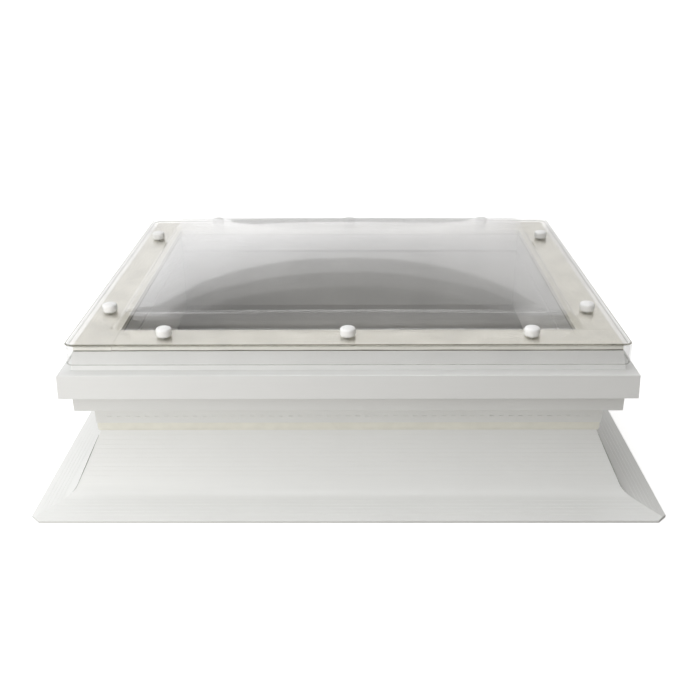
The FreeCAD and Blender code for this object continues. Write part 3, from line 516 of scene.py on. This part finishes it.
def outer_edge():
    """The outer skin's lip, its bend and its flange."""
    bend_foot = OUTER_FACE - LIP_BEND
    rows = [(FLANGE, level, FLANGE_CORNER)
            for level in (LIP_FOOT, LIP_FOOT + 2, LIP_FOOT + 17, bend_foot - 2.5, bend_foot - 0.5)]
    for out, level in arc((FLANGE - LIP_BEND, bend_foot), LIP_BEND, 0, 90, 6)[1:]:
        rows.append((out, level, FLANGE_CORNER - (FLANGE - out)))
    return rows + [(out, OUTER_FACE, FLANGE_CORNER) for out in (70, 45, 22)]


def inner_edge(top):
    """The flat flange of a lower skin."""
    return [(out, top, FLANGE_CORNER) for out in (74, 60, 40, 22)]


# The lip's bend and the sheets' cut edges are painted dark: their own olive tint, and painted shade for
# what refraction darkens there.
bend_looks = edge_acrylic("acrylic_bend_tint_and_painted_shade", (0.55, 0.54, 0.48), 0.45)
cut_looks = edge_acrylic("acrylic_cut_tint_and_painted_shade", (0.8, 0.8, 0.77), 0.12)
pressed_looks = pressed_acrylic("acrylic_pressed", (0.985, 0.982, 0.975))
skin_piece("outer", dome_rings(outer_edge(), **OUTER, rounding=OUTER_ROUND, pitch=OUTER_PITCH), OUTER_SHEET,
           clear_acrylic("outer_clear", (0.985, 0.985, 0.985), 0.4 * MM), bend_looks, BEND_ROWS)
for kind, sizes, tint in (("middle", MIDDLE, (0.98, 0.98, 0.98)), ("inner", INNER, (0.98, 0.978, 0.975))):
    rings = dome_rings(inner_edge(sizes["top"]), **sizes, rounding=INNER_ROUND, pitch=INNER_PITCH)
    skin_piece(kind, rings, INNER_SHEET, clear_acrylic(f"{kind}_clear", tint, 0.25 * MM), pressed_looks,
               LOWER_ROWS)


# ---- screw caps ----------------------------------------------------------------------------------

def fixing_points():
    """Centres of the ten screws: three along the front and back, two along each side."""
    across, ahead = HALF_X + FIXING_OUT * MM, HALF_Y + FIXING_OUT * MM
    points = [(x * MM, side * ahead) for side in (-1, 1) for x in (-FIXING_X, 0, FIXING_X)]
    points += [(side * across, y * MM) for side in (-1, 1) for y in (-FIXING_Y, FIXING_Y)]
    return points


def cap_rings(x, y, base, segments=48):
    """A cap's outer face: a short skirt, a rounded shoulder and a low crown."""
    profile = [(12.6, 0.0), (CAP_RADIUS - 0.1, 0.0), (CAP_RADIUS, 0.2), (CAP_RADIUS, 7.0)]
    profile += arc((9.3, 7.8), 4.2, 0, 78, 7)
    profile += [(8.0, 12.45), (6.0, 12.85), (3.5, 13.12), (1.2, 13.2)]
    rings = []
    for radius, height in profile:
        rings.append([
            (x + radius * MM * math.cos(2 * math.pi * k / segments),
             y + radius * MM * math.sin(2 * math.pi * k / segments), base + height * MM)
            for k in range(segments)])
    return rings


def join_meshes(name, meshes):
    """One mesh of several, which are used up."""
    build = bmesh.new()
    for mesh in meshes:
        build.from_mesh(mesh)
        bpy.data.meshes.remove(mesh)
    joined = bpy.data.meshes.new(name)
    build.to_mesh(joined)
    build.free()
    return joined


caps = join_meshes("caps", [mesh_from_rings("cap", cap_rings(x, y, cap_foot))
                            for x, y in fixing_points()])
cap_looks = plain_moulding("cap_white", (0.96, 0.96, 0.95), (0.22, 0.36), Coat_Weight=0.15)
cap_piece = add_piece("cap_shells", caps, "sash", "cap_plastic", cap_looks, "screw_caps")
cap_wall = cap_piece.modifiers.new("wall", "SOLIDIFY")
cap_wall.thickness = CAP_WALL * MM
cap_wall.offset = -1


# ---- foam strips ---------------------------------------------------------------------------------

strip_looks = foam("strip_foam", (0.95, 0.94, 0.88))
# The strips' feet are painted dark: painted shade of the gap between a strip and the sash top.
foot_shade_looks = plain_moulding("strip_foot_painted_shade", (0.13, 0.125, 0.09), (0.5, 0.7))


def strip_mesh(name, low, high, seed):
    """A soft strip between two corners of a box: its flanks bow and wander a little along its length,
    and its foot, up to the band's top level set above, takes the second material: a dark band painted as
    shade of the gap under the strip."""
    size = [high[k] - low[k] for k in range(3)]
    long_axis = 0 if size[0] > size[1] else 1
    wide_axis = 1 - long_axis
    count = 90
    section = [(-1, -1), (-1, FOOT_SHADE_TOP), (-1, 0), (-1, 1), (0, 1), (1, 1), (1, 0), (1, FOOT_SHADE_TOP), (1, -1),
               (0, -1)]
    rows = []
    for k in range(count + 1):
        along = low[long_axis] + size[long_axis] * k / count
        wander = noise.noise(Vector((along * 9, seed, 0))) * 0.5 * MM
        rows.append([])
        for across, up in section:
            flank = noise.noise(Vector((along * 30, seed + up, across))) * 0.25 * MM
            inset = -across * 0.5 * MM
            point = [0, 0, 0]
            point[long_axis] = along
            point[wide_axis] = ((low[wide_axis] + high[wide_axis]) / 2
                                + across * size[wide_axis] / 2 + inset + wander + flank)
            point[2] = (low[2] + high[2]) / 2 + up * size[2] / 2
            if up == FOOT_SHADE_TOP:
                point[2] += noise.noise(Vector((along * 14, seed, 3))) * 0.8 * MM
            rows[-1].append(tuple(point))
    build = bmesh.new()
    verts = [[build.verts.new(point) for point in row] for row in rows]
    sides = len(section)
    for near, far in zip(verts, verts[1:]):
        for k in range(sides):
            j = (k + 1) % sides
            face = build.faces.new((near[k], near[j], far[j], far[k]))
            face.material_index = int(k in (0, 7))
    for row in (verts[0], verts[-1]):
        build.faces.new(row[1:8])
        build.faces.new(row[:2] + row[7:]).material_index = 1
    return finished_mesh(name, build)


for index, side in enumerate(("front", "back", "left", "right")):
    low, high = [list(corner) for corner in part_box(f"dome_spacer_{side}")]
    high[2] -= 0.2 * MM
    mesh = strip_mesh(f"strip_{side}", low, high, 2.0 + 5 * index)
    add_piece(f"foam_strip_{side}", mesh, "sash", "spacer_foam", strip_looks, f"dome_spacer_{side}")
    mesh.materials.append(foot_shade_looks)
    for polygon in mesh.polygons:
        polygon.use_smooth = False


# ---- kerb mitres ---------------------------------------------------------------------------------

def mitre_path(kerb_mesh, side_x, side_y):
    """The kerb's outer line at one corner, from its neck down to where the flange starts."""
    ahead = cad_box[1][0] - cad_box[1][1]
    corner = [vert.co for vert in kerb_mesh.vertices
              if abs(abs(vert.co.x) - abs(vert.co.y) - ahead) < 0.05 * MM
              and vert.co.x * side_x > 0 and vert.co.y * side_y > 0]
    path = []
    for point in sorted(corner, key=lambda co: (-round(co.z, 5), -abs(co.x))):
        if point.z < MITRE_END or point.z > MITRE_START:
            continue
        if not path or abs(point.x) > abs(path[-1].x) + 0.3 * MM:
            path.append(point.copy())
    return path


def groove_mesh(name, path, side_x, side_y):
    """A slim three-sided bar laid along a mitre, thinning out at its ends."""
    build = bmesh.new()
    across = Vector((side_x, -side_y, 0)).normalized()
    outward = Vector((side_x, side_y, 1.2)).normalized()
    rows = []
    for k, point in enumerate(path):
        half = MITRE_GAP * (0.25 + 0.75 * math.sin(math.pi * k / (len(path) - 1)))
        top = point + outward * 0.15 * MM
        bottom = point - outward * 0.25 * MM
        rows.append([build.verts.new(top + across * half), build.verts.new(top - across * half),
                     build.verts.new(bottom)])
    for near, far in zip(rows, rows[1:]):
        for k in range(3):
            j = (k + 1) % 3
            build.faces.new((near[k], near[j], far[j], far[k]))
    build.faces.new(rows[0])
    build.faces.new(rows[-1])
    return finished_mesh(name, build)


# The bar along each mitre is painted dark: painted shade in the open groove of the joint.
groove_painted_shade_looks = plain_moulding("mitre_shadow", (0.22, 0.23, 0.20), (0.6, 0.8))
for kerb in ("front", "back"):
    side_y = -1 if kerb == "front" else 1
    for side_x, turn in ((-1, "left"), (1, "right")):
        path = mitre_path(nodes[f"kerb_{kerb}"].data, side_x, side_y)
        mesh = groove_mesh(f"mitre_{kerb}_{turn}", path, side_x, side_y)
        add_piece(f"mitre_groove_{kerb}_{turn}", mesh, "base", "kerb_pvc", groove_painted_shade_looks)


# ---- stage ---------------------------------------------------------------------------------------

# What the clear dome mirrors, by direction: a surround whose upper edge is an arch (its height where
# x = 0, how it falls to the sides, how far out it still falls, its softness, as parts of a unit
# direction), a dim ceiling, a brighter front and a lamp overhead.
ARCH_HEIGHT = 0.541
ARCH_FALL = 1.0
ARCH_WIDTH = 0.25
ARCH_BLUR = 0.008
SURROUND_LEFT = (1.55, 1.55, 1.56)
SURROUND_RIGHT = (0.42, 0.41, 0.40)
CEILING = (0.36, 0.36, 0.36)
FRONT = (1.3, 1.3, 1.3)
LAMP = (4.0, 4.0, 4.0)
# Where the lamp and the bright front fade in or out, as parts of a unit direction.
LAMP_NEAR = (-0.46, -0.38)
LAMP_FAR = (0.24, 0.34)
LAMP_SIDE = (0.24, 0.34)
LAMP_LEVEL = (0.70, 0.74)
FRONT_DEPTH = (-0.63, -0.58)
FRONT_LEVEL = (0.45, 0.55)
# What lights the object, by direction: from left to right, from front to back and from the horizon up.
LIGHT_ACROSS = (
    (0.0, (0.85, 0.85, 0.86)), (0.4, (1.3, 1.3, 1.3)), (0.57, (1.25, 1.25, 1.24)),
    (0.8, (0.03, 0.018, 0.005)), (1.0, (0.03, 0.018, 0.005)),
)
LIGHT_DEEP = ((0.0, (0.5, 0.5, 0.5)), (0.5, (1.0, 1.0, 1.0)), (1.0, (1.0, 1.0, 1.0)))
LIGHT_HIGH = ((0.0, (0.58, 0.58, 0.58)), (0.5, (1.0, 1.0, 1.0)), (1.0, (1.15, 1.15, 1.15)))

# PAPER_LIT also colours the patch under the object for every ray, as painted shade.
PAPER_LIT = (0.38, 0.36, 0.335)        # how the paper bounces light, and how a gloss mirrors it
PAPER_MIRRORED = (0.72, 0.72, 0.72)
PAPER_GLOW = 0.5
UNDER = 0.03                           # the dim patch ends this far inside the kerb's outline


def add_floor():
    """Pale paper. Where it lies under the object it is painted dim, as painted shade for the dark that an
    opening in a roof shows.
    """
    bpy.ops.mesh.primitive_plane_add(size=90, location=(0, 0, -0.0005))
    floor = bpy.context.object
    floor.name = "floor"
    m = new_material("floor_paper")
    split = m.new("SeparateXYZ")
    m.link(m.new("TexCoord").outputs["Object"], split.inputs[0])
    beside = m.maths("GREATER_THAN", m.maths("ABSOLUTE", split.outputs["X"], 0), cad_box[1][0] - UNDER)
    beyond = m.maths("GREATER_THAN", m.maths("ABSOLUTE", split.outputs["Y"], 0), cad_box[1][1] - UNDER)
    clear = m.maths("MAXIMUM", beside, beyond)
    path = m.new("LightPath")
    shown = m.maths("MULTIPLY", path.outputs["Is Camera Ray"], clear)
    mirrored = m.maths("MULTIPLY", path.outputs["Is Glossy Ray"], clear)
    cloud = m.noise(0.6, 2.0)
    paper = m.colours(cloud, (0.90, 0.90, 0.90), (0.92, 0.92, 0.92))
    paper = m.mix(shown, m.mix(mirrored, PAPER_LIT, PAPER_MIRRORED), paper)
    shader = m.principled(paper, m.span(cloud, 0.85, 0.95))
    shader.inputs["Specular IOR Level"].default_value = 0.1
    shader.inputs["Emission Color"].default_value = (1, 1, 1, 1)
    m.link(m.maths("MULTIPLY", shown, PAPER_GLOW), shader.inputs["Emission Strength"])
    floor.data.materials.append(m.finish(shader))


def add_world():
    """Studio light: bright from the left, half as bright from the front, dim and warm from the right.
    Glossy rays see what the dome mirrors, camera rays see white and all others see the light."""
    world = bpy.data.worlds.new("studio")
    scene.world = world
    m = Nodes(world, "OutputWorld")
    split = m.new("SeparateXYZ")
    m.link(m.new("TexCoord").outputs["Generated"], split.inputs[0])
    x, y, z = (split.outputs[axis] for axis in "XYZ")

    def glow(colour):
        """A background of a colour, or of what a node gives."""
        light = m.new("Background")
        if isinstance(colour, tuple):
            light.inputs["Color"].default_value = (*colour, 1)
        else:
            m.link(colour, light.inputs["Color"])
        return light

    width = m.maths("MINIMUM", m.maths("MULTIPLY", x, x), ARCH_WIDTH ** 2)
    rim = m.maths("SUBTRACT", ARCH_HEIGHT, m.maths("MULTIPLY", width, ARCH_FALL))
    past_rim = m.maths("SUBTRACT", z, rim)
    ceiling = m.span(past_rim, 0.0, 1.0, -ARCH_BLUR, ARCH_BLUR)
    surround = m.mix(m.span(x, 0.0, 1.0, -1.0, 1.0), SURROUND_LEFT, SURROUND_RIGHT)
    mirrored = m.mix(ceiling, surround, CEILING)
    lamp = m.maths("MULTIPLY", m.span(y, 0.0, 1.0, *LAMP_NEAR), m.span(y, 1.0, 0.0, *LAMP_FAR))
    lamp = m.maths("MULTIPLY", lamp, m.span(m.maths("ABSOLUTE", x, 0), 1.0, 0.0, *LAMP_SIDE))
    lamp = m.maths("MULTIPLY", lamp, m.span(z, 0.0, 1.0, *LAMP_LEVEL))
    mirrored = m.mix(lamp, mirrored, LAMP)
    front = m.maths("MULTIPLY", m.span(y, 1.0, 0.0, *FRONT_DEPTH), m.span(z, 0.0, 1.0, *FRONT_LEVEL))
    mirrored = m.mix(front, mirrored, FRONT)

    across = m.ramp(m.span(x, 0.0, 1.0, -1.0, 1.0), LIGHT_ACROSS)
    deep = m.ramp(m.span(y, 0.0, 1.0, -1.0, 1.0), LIGHT_DEEP)
    high = m.ramp(z, LIGHT_HIGH)
    lighting = m.mix(1.0, m.mix(1.0, across, deep, "MULTIPLY"), high, "MULTIPLY")
    seen = m.new("LightPath")
    join = m.mix_shaders(seen.outputs["Is Glossy Ray"], glow(lighting), glow(mirrored))
    join = m.mix_shaders(seen.outputs["Is Camera Ray"], join, glow((1.0, 1.0, 1.0)))
    m.finish(join)


def add_light(name, place, target, size, power, colour=(1, 1, 1)):
    """A rectangular area light that shines on target and isn't mirrored in the dome."""
    data = bpy.data.lights.new(name, "AREA")
    data.shape = "RECTANGLE"
    data.size, data.size_y = size
    data.energy = power
    data.color = colour
    lamp = bpy.data.objects.new(name, data)
    lamp.location = place
    aim = Vector(target) - Vector(place)
    lamp.rotation_euler = aim.to_track_quat("-Z", "Y").to_euler()
    lamp.visible_glossy = False
    scene.collection.objects.link(lamp)


# The camera fitted to the photograph: degrees down, to the side and of roll, metres, and pixels.
CAMERA_ANGLES = (24.42, -0.32, -0.23)
CAMERA_PLACE = (0.0115, -1.7375, 0.9124)
FOCAL_PIXELS = 888.4
PHOTO_PIXELS = 700
SENSOR = 36


def add_camera():
    """The camera stands in front of the object and above it, and looks down at the kerb's middle."""
    pitch, yaw, roll = (math.radians(angle) for angle in CAMERA_ANGLES)
    ahead = Vector((math.sin(yaw) * math.cos(pitch), math.cos(yaw) * math.cos(pitch), -math.sin(pitch)))
    level = Vector((math.cos(yaw), -math.sin(yaw), 0))
    above = level.cross(ahead)
    right = math.cos(roll) * level + math.sin(roll) * above
    up = math.cos(roll) * above - math.sin(roll) * level
    turn = Matrix((right, up, -ahead)).transposed().to_4x4()
    data = bpy.data.cameras.new("camera")
    data.sensor_width = SENSOR
    data.lens = SENSOR * FOCAL_PIXELS / PHOTO_PIXELS
    data.clip_end = 100
    camera = bpy.data.objects.new("camera", data)
    camera.matrix_world = Matrix.Translation(CAMERA_PLACE) @ turn
    scene.collection.objects.link(camera)
    scene.camera = camera


add_floor()
add_world()
add_camera()
add_light("top_softbox", (-0.6, -1.2, 2.6), (0, 0, 0.15), (2.4, 1.6), 5)
add_light("near_softbox", (-1.05, -1.6, 0.45), (-0.1, -0.45, 0.2), (1.0, 0.7), 11, (1, 0.995, 0.98))
scene.view_settings.view_transform = "Standard"
scene.cycles.transparent_max_bounces = 48
scene.cycles.max_bounces = 14
